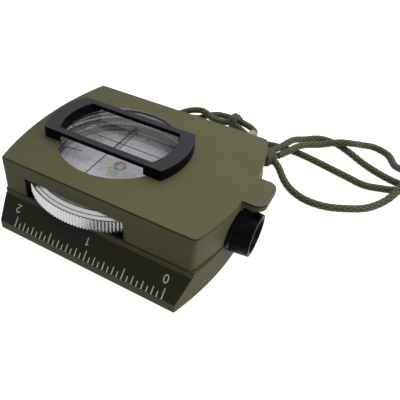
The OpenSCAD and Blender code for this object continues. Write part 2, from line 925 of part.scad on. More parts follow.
module lid_shell() {
    color("darkolivegreen")
        difference() {
            union() {
                translate([0, 0, lid_z])
                    linear_extrude(lid_top - lid_z)
                        lid_plan(0);
                translate([0, 0, lid_top - tab_t])
                    linear_extrude(tab_t)
                        tab_plan();
                lid_knuckles();
            }
            translate([0, 0, lid_z - cut])
                linear_extrude(roof_z - lid_z + cut)
                    lid_plan(lid_wall);
            lid_openings();
            disc(roof_z - cut, lid_top + cut, window_r);
            disc(roof_z - cut, pane_z + pane_t, pane_r);
            sight_screw_places()
                sight_screw();
            both_sides()
                bar_y(outer_knuckle_y - cut, outer_knuckle_y + knuckle_l + cut, hinge_x, hinge_z,
                    pin_r + run);
        }
}

module lid_window() {
    color("lightcyan")
        disc(pane_z, pane_z + pane_t, pane_r);
}

module window_ring() {
    color("black")
        ring(roof_z, pane_z, pane_r, window_r);
}

// A straight-sided block with bowed ends
module bowed_block(from_z, to_z, r, width) {
    intersection() {
        disc(from_z, to_z, r);
        translate([-r - cut, -width / 2, from_z])
            cube([2 * (r + cut), width, to_z - from_z]);
    }
}

module sight_frame() {
    color("dimgray")
        difference() {
            bowed_block(lid_top, lid_top + sight_h, sight_outer_r, sight_w);
            disc(lid_top - cut, lid_top + sight_h - rail_t, sight_inner_r);
            bowed_block(lid_top - cut, lid_top + sight_h + cut, sight_inner_r, sight_open_w);
            sight_screw_places()
                disc(lid_top - cut, lid_top + sight_screw_in, sight_screw_r);
        }
}

module sight_screws() {
    color("silver")
        sight_screw_places()
            difference() {
                sight_screw();
                screw_slot(roof_z, sight_screw_head_r);
            }
}

function unit(v) = v / norm(v);

// The direction of a route at one of its points
function heading(route, i) =
    unit(route[min(i + 1, len(route) - 1)] - route[max(i - 1, 0)]);

// The corners of the cord's cross-section at one point of its route
function cord_ring(route, i) =
    let (
        along = heading(route, i),
        side = unit(cross([0, 0, 1], along)),
        up = cross(along, side)
    )
    [
        for (k = [0 : cord_sides - 1])
            let (a = (k + 0.5) * 360 / cord_sides)
                route[i] + cord_r * (cos(a) * side + sin(a) * up)
    ];

// A cord along a stretch of a route, from one of its points to another
module cord(route, first, last) {
    rings = last - first;
    points = [for (i = [first : last]) each cord_ring(route, i)];
    walls = [
        for (i = [0 : rings - 1])
            for (k = [0 : cord_sides - 1])
                let (
                    a = i * cord_sides + k,
                    b = i * cord_sides + (k + 1) % cord_sides
                )
                each [[a, b, a + cord_sides], [b, b + cord_sides, a + cord_sides]]
    ];
    start_cap = [[for (k = [cord_sides - 1 : -1 : 0]) k]];
    end_cap = [[for (k = [0 : cord_sides - 1]) rings * cord_sides + k]];
    polyhedron(points, concat(walls, start_cap, end_cap));
}

module whole_cord(route) {
    color("olive")
        cord(route, 0, len(route) - 1);
}

module lanyard_front_loop() {
    whole_cord(front_loop_route);
}

module lanyard_inner_loop() {
    whole_cord(inner_loop_route);
}

module lanyard_rear_run() {
    whole_cord(rear_run_route);
}

module lanyard_eye_loop() {
    whole_cord(eye_loop_route);
}

// Turns of cord bound side by side round a straight core, along X
module bound_turns(at, turn, count, outer_r) {
    pitch = 2.2;
    turn_r = 1.25;
    core_r = outer_r - 0.7;
    half_l = (count - 1) * pitch / 2;
    translate(at)
        rotate([0, 0, turn])
            rotate([0, 90, 0]) {
                translate([0, 0, -half_l])
                    cylinder(h = 2 * half_l, r = core_r);
                for (i = [0 : count - 1])
                    translate([0, 0, i * pitch - half_l])
                        rotate_extrude()
                            translate([outer_r - turn_r, 0])
                                circle(turn_r, $fn = 32);
            }
}

module lanyard_knot() {
    color("olive")
        bound_turns(knot_at, knot_turn, 3, 3.3);
}

module lanyard_wrap() {
    color("olive")
        bound_turns(wrap_at, wrap_turn, 2, 3.3);
}

// The metal end of the lanyard
module lanyard_tip() {
    last = len(inner_loop_route) - 1;
    way = heading(inner_loop_route, last);
    color("silver")
        translate(inner_loop_route[last])
            rotate([0, 90, atan2(way[1], way[0])])
                translate([0, 0, -3.6])
                    cylinder(h = 5, r = 1.65);
}

base_housing();
bottom_plate();
bottom_screws();
tripod_bush();
lanyard_eye();
capsule_cup();
capsule_screws();
fill_plug();
sight_port();
crystal_gasket();
capsule_crystal();
crystal_retainer();
pivot_post();
pivot_needle();
bezel_washer();
bezel_ring();
bezel_scale();
dial_card();
dial_magnet();
dial_hub();
dial_jewel();
dial_arrow();
sight_prism();
eyepiece_bracket();
bracket_screws();
eyepiece_barrel();
focus_ring();
cell_clip();
lens_cell();
eyepiece_lens();
lens_retainer();
cell_pin();
hinge_pins();
lid_shell();
lid_window();
window_ring();
sight_frame();
sight_screws();
lanyard_front_loop();
lanyard_inner_loop();
lanyard_rear_run();
lanyard_eye_loop();
lanyard_knot();
lanyard_wrap();
lanyard_tip();
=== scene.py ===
"""Looks for the pocket sighting compass: paint, metal, glass, scales and the braided lanyard."""

import math

import bmesh
import bpy
import numpy as np
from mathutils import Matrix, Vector


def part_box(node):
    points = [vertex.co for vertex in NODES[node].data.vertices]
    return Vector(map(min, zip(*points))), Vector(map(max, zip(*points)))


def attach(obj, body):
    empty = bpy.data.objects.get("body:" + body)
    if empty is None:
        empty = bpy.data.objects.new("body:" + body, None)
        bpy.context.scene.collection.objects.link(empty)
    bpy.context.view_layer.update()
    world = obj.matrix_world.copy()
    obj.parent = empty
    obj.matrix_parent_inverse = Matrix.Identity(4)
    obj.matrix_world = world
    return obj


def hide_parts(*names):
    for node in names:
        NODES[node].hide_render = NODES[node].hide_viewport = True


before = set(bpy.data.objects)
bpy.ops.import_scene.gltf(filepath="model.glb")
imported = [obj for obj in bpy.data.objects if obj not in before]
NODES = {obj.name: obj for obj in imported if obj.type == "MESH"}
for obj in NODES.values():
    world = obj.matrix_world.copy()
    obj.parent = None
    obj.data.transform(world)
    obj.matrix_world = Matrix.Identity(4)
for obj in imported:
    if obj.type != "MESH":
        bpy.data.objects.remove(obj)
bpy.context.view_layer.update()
MM = 0.001


def corners(node):
    """The lowest and highest corners of a CAD node, in millimetres."""
    low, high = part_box(node)
    return np.array(low) / MM, np.array(high) / MM


# Sizes of the CAD model that its boxes do not tell, in millimetres: the step under the window's
# pane, the bezel's knurls, cone and graduated ring, the side openings, and the bevels' section
PANE_SEAT = 0.6
KNURL_STEP = 0.6
CONE_RISE = 4.3
SCALE_GAP = 0.3
SLOT_REACH = 17.3
FOOT_H = 3.0
RIM_Y = 26.5
RIM_Z = 9.7

# Places of the CAD model, in millimetres
BASE_HIGH = corners("base_housing")[1]
LID_LOW, LID_HIGH = corners("lid_shell")
BEZEL_LOW, BEZEL_HIGH = corners("bezel_ring")
PANE_HIGH = corners("lid_window")[1]
SCALE_HIGH = corners("bezel_scale")[1]
DIAL_HIGH = corners("dial_card")[1]
KNOB_END = corners("focus_ring")[1][0]
FOOT_Y = BASE_HIGH[1]
SEAM_Z = BASE_HIGH[2]
LID_TOP = LID_HIGH[2]
WINDOW_R = PANE_HIGH[0] - PANE_SEAT
PANE_TOP = PANE_HIGH[2]
SCALE_R = SCALE_HIGH[0]
SCALE_TOP = SCALE_HIGH[2]
CONE_R = BEZEL_HIGH[0] - KNURL_STEP
CONE_TOP_R = SCALE_R + SCALE_GAP
CONE_Z = BEZEL_LOW[2] + CONE_RISE
DIAL_R = DIAL_HIGH[0]
DIAL_TOP = DIAL_HIGH[2]

# Direction up the bevel that carries a ruler
BEVEL_RISE = np.array([0, RIM_Y - FOOT_Y, RIM_Z - FOOT_H])
BEVEL_SLOPE = BEVEL_RISE / math.hypot(*BEVEL_RISE)

# Limits of the painted shade, which keep the black inside clear of the lid's outer faces, half the
# height of the dark line at the seam, and a distance beyond the whole case
FACE_Y = LID_HIGH[1] - 0.3
SHADE_LEFT = LID_LOW[0] + 7.5
SHADE_RIGHT = LID_HIGH[0] - 15
SEAM_LINE = 0.36
REACH = 60

# Light, and colours of the painted shade, sheen and reflection
CASE_MIDDLE = (0.01, 0, 0.01)
WORLD_LIGHT = 0.38
FLOOR_GLOW = 0.9
SHADOW = (0.002, 0.002, 0.0015)
EDGE_SHADOW = (0.018, 0.017, 0.008)
LID_HINGE_SHADE = (0.07, 0.067, 0.03)
LID_SIDE_SHADE = (0.074, 0.07, 0.033)
WINDOW_WALL_REFLECTION = (0.4, 0.4, 0.38)
RULER_SHADE = (0.016, 0.016, 0.0075)
FRAME_TOP = (0.036, 0.036, 0.042)

# Rulers
INCH = 25.4
INCH_ZERO_X = 33.5
CM_ZERO_X = -20.5

# Lanyard: the cord and its braid, the heights of its centre on the floor and over another
# stretch, the eye on the case, the routes, and the turns of the knot and the wrap
CORD_D = 2.6
CORD_STEP = 0.22
BRAID_STRANDS = 6
BRAID_PITCH = 4.4
BRAID_DEPTH = 0.24
BRAID_AROUND = 36
LOW = 1.35
HIGH = 4.3
LUG_X = 27
LUG_Y = 35.1
LUG_Z = 3.2
FRONT_LOOP = [
    (37.6, 44.8, 3.6), (41.4, 41.8, 2.6), (45.2, 37.4, LOW), (49.4, 33.4, LOW),
    (54.6, 31.2, LOW), (61, 31.4, LOW), (67.6, 34.2, LOW), (73.8, 38.6, LOW), (78.4, 44.4, 2.4),
    (81, 50.4, 4), (82.2, 57, HIGH), (81.4, 63.4, 3.7), (78, 69.2, LOW), (74.6, 75, LOW),
    (69, 77.4, LOW), (64.2, 74.8, 2.2), (61.4, 70.8, 4), (56.6, 68.2, HIGH), (50.6, 65, 2.8),
    (46.2, 61.2, 3.2), (43.8, 56.4, HIGH), (41.8, 52, 4.2), (39, 47.6, 3.4),
]
INNER_LOOP = [
    (36.2, 47.6, 4.6), (38.4, 52.4, 4.6), (39.8, 57, 4.4), (41, 61.6, 3.4), (43.8, 66.6, 1.8),
    (49, 71.4, LOW), (55.4, 71.4, LOW), (61.4, 68.2, LOW), (67.6, 63.8, LOW), (73.8, 60.6, LOW),
    (80, 58.6, LOW), (86, 58.8, LOW), (91.8, 61.8, LOW), (97, 58.4, LOW), (96, 52, LOW),
    (89.8, 50.4, LOW), (83.6, 54.4, LOW), (77.2, 52.4, LOW), (70.4, 50.6, LOW),
    (63.4, 52.2, LOW), (49.4, 55.8, LOW), (42.4, 56.8, LOW), (35.4, 56.4, LOW),
    (28.4, 54.6, LOW), (14.4, 51.2, LOW), (7.4, 49.8, LOW), (1.4, 49.8, LOW),
    (-2.6, 52.4, LOW), (-2.4, 56.2, LOW), (1.6, 58.4, LOW), (4, 62.4, LOW), (7.2, 65.2, LOW),
    (10.2, 65, 1.8), (13.4, 64, 2.6), (16.8, 62.4, 3.4), (20.6, 61.6, 3.2), (23.6, 60.4, 3.2),
    (25.9, 57.8, 3.5), (26.3, 54.2, 4.2), (25.7, 51, 4.7),
]
REAR_RUN = [
    (34.2, 46.4, 2.8), (28, 48.2, 1.8), (21.4, 48.4, LOW), (7.4, 46, LOW),
    (0.4, 46.2, LOW), (-5.2, 49.6, LOW), (-7.4, 54.4, LOW), (-5.6, 58.4, 1.8), (-1.6, 59.7, 3.4),
    (2.8, 59.6, HIGH), (7, 59, 2.8), (11.4, 58.9, 2.6), (15.6, 59.3, 3.3),
    (20.6, 57.8, 2.4), (23.4, 56.2, 2),
]
EYE_LOOP = [
    (35.4, 42.8, 3.6), (34.8, 39.2, 3.2), (32.2, 36.4, 3), (LUG_X + 1.6, LUG_Y, LUG_Z),
    (LUG_X - 1.6, LUG_Y, LUG_Z), (21.4, 35.4, 2.4), (17.8, 39.2, LOW), (19, 43.2, LOW),
    (23.6, 45, 1.8), (28.6, 44.6, 2.8), (32.6, 44, 3.4),
]
KNOT_AT = (35.9, 44.6, 3.5)
KNOT_TURN = 65
WRAP_AT = (16.4, 60.8, 3.5)
WRAP_TURN = -14
BIND_R = 3.3
BIND_PITCH = 2.2


def link(obj):
    """Puts a new object into the scene."""
    bpy.context.scene.collection.objects.link(obj)
    return obj


def new_mesh(name, points, faces, smooth=False):
    """An object from points in millimetres and faces."""
    mesh = bpy.data.meshes.new(name)
    mesh.from_pydata([Vector(p) * MM for p in points], [], faces)
    mesh.update()
    mesh.polygons.foreach_set("use_smooth", [smooth] * len(mesh.polygons))
    return link(bpy.data.objects.new(name, mesh))


def face_outwards(mesh):
    """Turns all faces of a closed mesh outwards."""
    shape = bmesh.new()
    shape.from_mesh(mesh)
    bmesh.ops.recalc_face_normals(shape, faces=shape.faces)
    shape.to_mesh(mesh)
    shape.free()


def set_material(obj, material):
    """Gives an object one material."""
    obj.data.materials.clear()
    obj.data.materials.append(material)


# Camera, lights and floor

def make_camera():
    """The camera at the photograph's viewing angle."""
    data = bpy.data.cameras.new("camera")
    data.lens = 42.8
    data.sensor_width = 36
    data.shift_x = 0.1224
    data.shift_y = -0.0103
    data.clip_start = 0.005
    camera = link(bpy.data.objects.new("camera", data))
    camera.location = (0.06608, -0.10222, 0.1064)
    camera.rotation_euler = [math.radians(a) for a in (48.941, -2.385, 30.042)]
    bpy.context.scene.camera = camera


def area_light(name, place, size, watts):
    """A square soft light that looks at the middle of the case."""
    data = bpy.data.lights.new(name, "AREA")
    data.shape = "SQUARE"
    data.size = size
    data.energy = watts
    light = link(bpy.data.objects.new(name, data))
    light.location = place
    aim = Vector(CASE_MIDDLE) - Vector(place)
    light.rotation_euler = aim.to_track_quat("-Z", "Y").to_euler()


def background_rays(tree):
    """1 for the rays that see the background: straight, in a reflection or through glass."""
    path = tree.nodes.new("ShaderNodeLightPath")
    seen = path.outputs["Is Camera Ray"]
    for kind in ("Is Glossy Ray", "Is Transmission Ray"):
        either = tree.nodes.new("ShaderNodeMath")
        either.operation = "MAXIMUM"
        tree.links.new(seen, either.inputs[0])
        tree.links.new(path.outputs[kind], either.inputs[1])
        seen = either.outputs["Value"]
    return seen


def make_studio():
    """Two soft lights and a pale world that looks white but lights the object less."""
    area_light("key_light", (0.05, 0.22, 0.6), 0.6, 2.6)
    area_light("side_light", (0.55, 0.05, 0.3), 0.3, 1.5)
    world = bpy.data.worlds.new("studio")
    bpy.context.scene.world = world
    world.use_nodes = True
    tree = world.node_tree
    background = tree.nodes["Background"]
    background.inputs["Color"].default_value = (1, 1, 1, 1)
    strength = map_range(tree, background_rays(tree), 0, 1, WORLD_LIGHT, 1)
    tree.links.new(strength, background.inputs["Strength"])


def make_floor():
    """A pale floor that looks white and keeps the object's shadow."""
    half = 3000
    outline = [(-half, -half, 0), (half, -half, 0), (half, half, 0), (-half, half, 0)]
    floor = new_mesh("floor", outline, [(0, 1, 2, 3)])
    material, tree, shader = new_material("pale_floor", (0.5, 0.5, 0.5), 0.9)
    shader.inputs["Specular IOR Level"].default_value = 0.1
    shader.inputs["Emission Color"].default_value = (1, 1, 1, 1)
    glow = map_range(tree, background_rays(tree), 0, 1, 0, FLOOR_GLOW)
    tree.links.new(glow, shader.inputs["Emission Strength"])
    set_material(floor, material)


# Materials

def new_material(name, colour, roughness, metallic=0.0):
    """A material with its node tree and its shader."""
    material = bpy.data.materials.new(name)
    material.use_nodes = True
    shader = material.node_tree.nodes["Principled BSDF"]
    shader.inputs["Base Color"].default_value = (*colour, 1)
    shader.inputs["Roughness"].default_value = roughness
    shader.inputs["Metallic"].default_value = metallic
    return material, material.node_tree, shader


def place_on(tree):
    """The place of the shaded point on the object, in metres."""
    return tree.nodes.new("ShaderNodeTexCoord").outputs["Object"]


def place_parts(tree):
    """The X, Y and Z of the shaded point's place on the object."""
    split = tree.nodes.new("ShaderNodeSeparateXYZ")
    tree.links.new(place_on(tree), split.inputs["Vector"])
    return split.outputs


def from_axis(tree):
    """The distance of the shaded point from the dial's axis, in metres."""
    flat = tree.nodes.new("ShaderNodeVectorMath")
    flat.operation = "MULTIPLY"
    flat.inputs[1].default_value = (1, 1, 0)
    length = tree.nodes.new("ShaderNodeVectorMath")
    length.operation = "LENGTH"
    tree.links.new(place_on(tree), flat.inputs[0])
    tree.links.new(flat.outputs["Vector"], length.inputs[0])
    return length.outputs["Value"]


def noise(tree, scale, stretch=None):
    """Noise fixed to the object; scale is in lumps per millimetre."""
    node = tree.nodes.new("ShaderNodeTexNoise")
    node.inputs["Scale"].default_value = scale / MM
    node.inputs["Detail"].default_value = 4
    place = place_on(tree)
    if stretch:
        mapping = tree.nodes.new("ShaderNodeMapping")
        mapping.inputs["Scale"].default_value = stretch
        tree.links.new(place, mapping.inputs["Vector"])
        place = mapping.outputs["Vector"]
    tree.links.new(place, node.inputs["Vector"])
    return node.outputs["Fac"]


def map_range(tree, value, low, high, to_low, to_high):
    """Turns values from low to high into values from to_low to to_high, and keeps them there."""
    node = tree.nodes.new("ShaderNodeMapRange")
    node.inputs["From Min"].default_value = low
    node.inputs["From Max"].default_value = high
    node.inputs["To Min"].default_value = to_low
    node.inputs["To Max"].default_value = to_high
    tree.links.new(value, node.inputs["Value"])
    return node.outputs["Result"]


def mix_colour(tree, factor, a, b):
    """Colour a where the factor is 0 and colour b where it is 1; each is a colour or a socket."""
    node = tree.nodes.new("ShaderNodeMix")
    node.data_type = "RGBA"
    tree.links.new(factor, node.inputs["Factor"])
    sockets = [i for i in node.inputs if i.type == "RGBA"]
    for socket, colour in zip(sockets, (a, b)):
        if isinstance(colour, tuple):
            socket.default_value = (*colour, 1)
        else:
            tree.links.new(colour, socket)
    return next(o for o in node.outputs if o.type == "RGBA")


def product(tree, a, b):
    """The product of two values."""
    node = tree.nodes.new("ShaderNodeMath")
    node.operation = "MULTIPLY"
    tree.links.new(a, node.inputs[0])
    tree.links.new(b, node.inputs[1])
    return node.outputs["Value"]


def add_bump(tree, shader, height, depth):
    """A bump of the given depth in millimetres."""
    node = tree.nodes.new("ShaderNodeBump")
    node.inputs["Distance"].default_value = depth * MM
    tree.links.new(height, node.inputs["Height"])
    tree.links.new(node.outputs["Normal"], shader.inputs["Normal"])


def facing(tree, axis, low, high):
    """0 where the normal's part along an axis is low, and 1 where it is high."""
    geometry = tree.nodes.new("ShaderNodeNewGeometry")
    to_object = tree.nodes.new("ShaderNodeVectorTransform")
    to_object.vector_type = "NORMAL"
    to_object.convert_from = "WORLD"
    to_object.convert_to = "OBJECT"
    split = tree.nodes.new("ShaderNodeSeparateXYZ")
    tree.links.new(geometry.outputs["Normal"], to_object.inputs["Vector"])
    tree.links.new(to_object.outputs["Vector"], split.inputs["Vector"])
    return map_range(tree, split.outputs[axis], low, high, 0, 1)


def inside_box(tree, low, high):
    """1 inside a box of the frame, given by its corners in millimetres, and 0 outside it."""
    place = place_parts(tree)
    inside = None
    for axis, axis_low, axis_high in zip("XYZ", low, high):
        for operation, limit in (("GREATER_THAN", axis_low), ("LESS_THAN", axis_high)):
            test = tree.nodes.new("ShaderNodeMath")
            test.operation = operation
            test.inputs[1].default_value = limit * MM
            tree.links.new(place[axis], test.inputs[0])
            passed = test.outputs["Value"]
            inside = product(tree, inside, passed) if inside else passed
    return inside


def worn_edges(tree, radius):
    """1 along sharp edges within a radius in millimetres, and 0 on flat faces."""
    bevel = tree.nodes.new("ShaderNodeBevel")
    bevel.inputs["Radius"].default_value = radius * MM
    geometry = tree.nodes.new("ShaderNodeNewGeometry")
    dot = tree.nodes.new("ShaderNodeVectorMath")
    dot.operation = "DOT_PRODUCT"
    tree.links.new(bevel.outputs["Normal"], dot.inputs[0])
    tree.links.new(geometry.outputs["Normal"], dot.inputs[1])
    return map_range(tree, dot.outputs["Value"], 0.99, 0.75, 0.0, 1.0)


def vary_roughness(tree, shader, lumps, low, high):
    """Roughness that wanders between two values, in lumps per millimetre."""
    rough = map_range(tree, noise(tree, lumps), 0.3, 0.7, low, high)
    tree.links.new(rough, shader.inputs["Roughness"])


def vary_colour(tree, shader, factor, darkened, colour):
    """The colour where the factor is 1, and darkened to a share of itself where it is 0."""
    darker = tuple(darkened * c for c in colour)
    tree.links.new(mix_colour(tree, factor, darker, colour), shader.inputs["Base Color"])


def paint(name, colour, edge_wear_and_highlight, roughness, gloss=0.15, shade=None):
    """Sprayed paint: faint mottling, a fine orange-peel grain, and lighter edges that are wear and a
    painted highlight.

    shade is a function that paints over the mottled colour by place on the object.
    """
    material, tree, shader = new_material(name, colour, roughness)
    shader.inputs["Specular IOR Level"].default_value = gloss
    mottle = map_range(tree, noise(tree, 0.12), 0.3, 0.7, 0.0, 1.0)
    darker = tuple(0.94 * c for c in colour)
    lighter = tuple(1.05 * c for c in colour)
    body = mix_colour(tree, mottle, darker, lighter)
    if shade:
        body = shade(tree, body)
    # Lighter edges: wear, and a painted highlight along them
    wear_and_highlight = product(tree, worn_edges(tree, 0.2),
                     map_range(tree, noise(tree, 1.5), 0.4, 0.65, 0.1, 0.6))
    tree.links.new(mix_colour(tree, wear_and_highlight, body, edge_wear_and_highlight), shader.inputs["Base Color"])
    vary_roughness(tree, shader, 0.9, roughness - 0.05, roughness + 0.06)
    add_bump(tree, shader, noise(tree, 4), 0.008)
    return material


def seam_dirt(tree, body):
    """A thin dark line where the lid meets the base: painted shade in the joint, and dirt."""
    line = inside_box(tree, (-REACH, -REACH, SEAM_Z - SEAM_LINE), (REACH, REACH, SEAM_Z + SEAM_LINE))
    return mix_colour(tree, product(tree, line, facing(tree, "Z", 0.8, 0.5)), body, SHADOW)


def near_axis(tree, radius):
    """1 within a radius in millimetres of the dial's axis, and 0 outside it."""
    return map_range(tree, from_axis(tree), (radius + 0.02) * MM, radius * MM, 0, 1)


def towards_hinge(tree):
    """0 from the middle of the lid to the eyepiece end, rising to 1 at the hinge end."""
    return map_range(tree, place_parts(tree)["X"], 20 * MM, -28 * MM, 0, 1)


def lid_shade(tree, body):
    """The lid's painted shade and light from place to place.

    As painted shade, the upper face darkens towards the hinge end and along its front edge, the front
    wall is darker than it and the inside is black. The wall of the window's hole is pale, a painted
    reflection.
    """
    front = facing(tree, "Y", -0.1, -0.3)
    # Painted shade: the upper face darker towards the hinge end
    upper = product(tree, towards_hinge(tree), facing(tree, "Z", 0.6, 0.9))
    body = mix_colour(tree, upper, body, LID_HINGE_SHADE)
    # Painted shade: the front wall darker than the upper face
    body = mix_colour(tree, product(tree, front, facing(tree, "Z", 0.4, 0.2)), body, LID_SIDE_SHADE)
    # Painted shadow: a dark line along the front edge of the upper face
    edge = inside_box(tree, (-REACH, -REACH, LID_TOP - 0.6), (REACH, REACH, LID_TOP + 1))
    edge = product(tree, edge, product(tree, front, facing(tree, "Z", 0.97, 0.85)))
    body = mix_colour(tree, edge, body, EDGE_SHADOW)
    # Painted shade: the inside of the lid black
    cavity = inside_box(tree, (SHADE_LEFT, -FACE_Y, SEAM_Z + SEAM_LINE),
                        (SHADE_RIGHT, FACE_Y, LID_TOP - 1.2))
    body = mix_colour(tree, cavity, body, SHADOW)
    # Painted reflection: the wall of the window's hole pale
    hole = product(tree, near_axis(tree, WINDOW_R + 0.1), facing(tree, "Z", 0.5, 0.3))
    return seam_dirt(tree, mix_colour(tree, hole, body, WINDOW_WALL_REFLECTION))


def base_shade(tree, body):
    """As painted shade, the ruler faces are darker than the rest and the notches under the bezel are
    black.
    """
    # Painted shade: the ruler faces darker
    bevel = product(tree, facing(tree, "Z", 0.45, 0.55), facing(tree, "Z", 0.85, 0.75))
    body = mix_colour(tree, bevel, body, RULER_SHADE)
    # Painted shade: the notches black
    notch = inside_box(tree, (-SLOT_REACH, -FACE_Y, FOOT_H), (SLOT_REACH, FACE_Y, SEAM_Z + 1))
    return seam_dirt(tree, mix_colour(tree, notch, body, SHADOW))


def light_top(tree, body):
    """The upper face of the sight frame is a lighter grey than its sides, a painted sheen."""
    return mix_colour(tree, facing(tree, "Z", 0.7, 0.95), body, FRAME_TOP)


def turned_metal(name, colour, roughness):
    """Bright metal with fine lathe marks round the dial's axis."""
    material, tree, shader = new_material(name, colour, roughness, metallic=1.0)
    marks_at = tree.nodes.new("ShaderNodeCombineXYZ")
    tree.links.new(from_axis(tree), marks_at.inputs["X"])
    tree.links.new(place_parts(tree)["Z"], marks_at.inputs["Y"])
    marks = tree.nodes.new("ShaderNodeTexNoise")
    marks.inputs["Scale"].default_value = 9 / MM
    tree.links.new(marks_at.outputs["Vector"], marks.inputs["Vector"])
    add_bump(tree, shader, marks.outputs["Fac"], 0.004)
    vary_roughness(tree, shader, 1.2, roughness - 0.05, roughness + 0.1)
    return material


def plain_metal(name, colour, roughness):
    """Metal with a fine grain and uneven polish."""
    material, tree, shader = new_material(name, colour, roughness, metallic=1.0)
    add_bump(tree, shader, noise(tree, 4, stretch=(1, 6, 1)), 0.004)
    vary_roughness(tree, shader, 2, roughness - 0.05, roughness + 0.1)
    return material


def clear_glass(name, tint):
    """Solid glass, with a little dust that makes it rougher in patches."""
    material, tree, shader = new_material(name, tint, 0.02)
    shader.inputs["Transmission Weight"].default_value = 1.0
    shader.inputs["IOR"].default_value = 1.45
    tree.links.new(map_range(tree, noise(tree, 0.8), 0.45, 0.8, 0.02, 0.08), shader.inputs["Roughness"])
    return material


def pane_glass(name, tint, haze):
    """A flat pane that lets light straight through, mirrors a little and carries a faint haze."""
    material = bpy.data.materials.new(name)
    material.use_nodes = True
    tree = material.node_tree
    tree.nodes.remove(tree.nodes["Principled BSDF"])
    through = tree.nodes.new("ShaderNodeBsdfTransparent")
    through.inputs["Color"].default_value = (*tint, 1)
    dust = tree.nodes.new("ShaderNodeBsdfDiffuse")
    dust.inputs["Color"].default_value = (0.8, 0.8, 0.8, 1)
    gloss = tree.nodes.new("ShaderNodeBsdfGlossy")
    gloss.inputs["Roughness"].default_value = 0.04
    fresnel = tree.nodes.new("ShaderNodeFresnel")
    fresnel.inputs["IOR"].default_value = 1.5
    side = tree.nodes.new("ShaderNodeNewGeometry")
    front = map_range(tree, side.outputs["Backfacing"], 0, 1, 1, 0)
    clear = tree.nodes.new("ShaderNodeMixShader")
    tree.links.new(map_range(tree, noise(tree, 0.25), 0.35, 0.7, 0.5 * haze, haze), clear.inputs["Fac"])
    tree.links.new(through.outputs["BSDF"], clear.inputs[1])
    tree.links.new(dust.outputs["BSDF"], clear.inputs[2])
    whole = tree.nodes.new("ShaderNodeMixShader")
    tree.links.new(product(tree, fresnel.outputs["Fac"], front), whole.inputs["Fac"])
    tree.links.new(clear.outputs["Shader"], whole.inputs[1])
    tree.links.new(gloss.outputs["BSDF"], whole.inputs[2])
    tree.links.new(whole.outputs["Shader"], tree.nodes["Material Output"].inputs["Surface"])
    return material


def mark_paint(name, colour):
    """Thick paint in an engraved mark."""
    material, tree, shader = new_material(name, colour, 0.55)
    wear = map_range(tree, noise(tree, 3), 0.35, 0.6, 0.0, 1.0)
    vary_colour(tree, shader, wear, 0.82, colour)
    add_bump(tree, shader, noise(tree, 8), 0.01)
    return material


def printed_card(name, colour, roughness):
    """Satin card with a fine fibre grain and faint stains."""
    material, tree, shader = new_material(name, colour, roughness)
    stain = map_range(tree, noise(tree, 0.2), 0.35, 0.7, 0.0, 1.0)
    vary_colour(tree, shader, stain, 0.85, colour)
    add_bump(tree, shader, noise(tree, 9), 0.006)
    return material


def braid_fabric(name, dark, light):
    """Woven nylon, a little shiny: dark between the strands and lighter on them, a painted shade in the
    crevices.
    """
    material, tree, shader = new_material(name, light, 0.6)
    height = tree.nodes.new("ShaderNodeAttribute")
    height.attribute_name = "strand"
    # Painted shade: dark in the crevices between the strands
    shade = map_range(tree, height.outputs["Fac"], 0.55, 1.0, 0.0, 1.0)
    fibres = map_range(tree, noise(tree, 5), 0.35, 0.65, 0.5, 1.0)
    tree.links.new(mix_colour(tree, product(tree, shade, fibres), dark, light),
                   shader.inputs["Base Color"])
    shader.inputs["Sheen Weight"].default_value = 0.12
    shader.inputs["Sheen Roughness"].default_value = 0.5
    shader.inputs["Specular IOR Level"].default_value = 0.25
    add_bump(tree, shader, noise(tree, 14), 0.03)
    return material


make_camera()
make_studio()
make_floor()

OLIVE = paint("olive_paint", (0.1, 0.095, 0.045), (0.17, 0.16, 0.1), 0.55)
OLIVE_LID = paint("olive_paint_lid", (0.096, 0.091, 0.042), (0.17, 0.16, 0.1), 0.55, shade=lid_shade)
# The base's olive is a darker copy of the lid's paint, as painted shade
OLIVE_BASE_SHADED = paint("olive_paint_base_shaded", (0.084, 0.08, 0.038), (0.11, 0.105, 0.06), 0.55, gloss=0.1,
                   shade=base_shade)
BLACK = paint("black_enamel", (0.003, 0.003, 0.003), (0.02, 0.02, 0.02), 0.4, gloss=0.12)
# The knob's edges are set much lighter than its black: wear, and a painted highlight on its rim
KNOB_BLACK = paint("knob_enamel", (0.0015, 0.0015, 0.0015), (0.2, 0.2, 0.2), 0.35, gloss=0.03)
FRAME_GREY = paint("frame_grey", (0.002, 0.002, 0.0025), (0.02, 0.02, 0.023), 0.5, gloss=0.05,
                   shade=light_top)
BRIGHT = turned_metal("bezel_metal", (0.5, 0.5, 0.495), 0.24)
STEEL = plain_metal("steel", (0.5, 0.5, 0.51), 0.3)
DULL_STEEL = plain_metal("dull_steel", (0.22, 0.22, 0.19), 0.45)
BRASS = plain_metal("brass", (0.6, 0.42, 0.17), 0.32)
BRONZE = plain_metal("bronze", (0.3, 0.24, 0.2), 0.35)
CUP = turned_metal("cup_alloy", (0.3, 0.3, 0.3), 0.4)
CREAM = printed_card("scale_enamel", (0.8, 0.78, 0.7), 0.45)
CARD = printed_card("card", (0.68, 0.67, 0.71), 0.5)
GLASS = clear_glass("glass", (0.97, 0.98, 0.98))
PANE = pane_glass("pane_glass", (0.985, 0.985, 0.99), 0.03)
RUBBER = paint("gasket_rubber", (0.02, 0.02, 0.02), (0.03, 0.03, 0.03), 0.7)
MAGNET = plain_metal("magnet_steel", (0.2, 0.22, 0.26), 0.45)
JEWEL = clear_glass("jewel", (0.7, 0.1, 0.15))
GLOW_PAINT = mark_paint("luminous", (0.4, 0.58, 0.36))
MARKS = mark_paint("ruler_marks", (0.5, 0.5, 0.41))
INK = mark_paint("black_ink", (0.012, 0.012, 0.012))
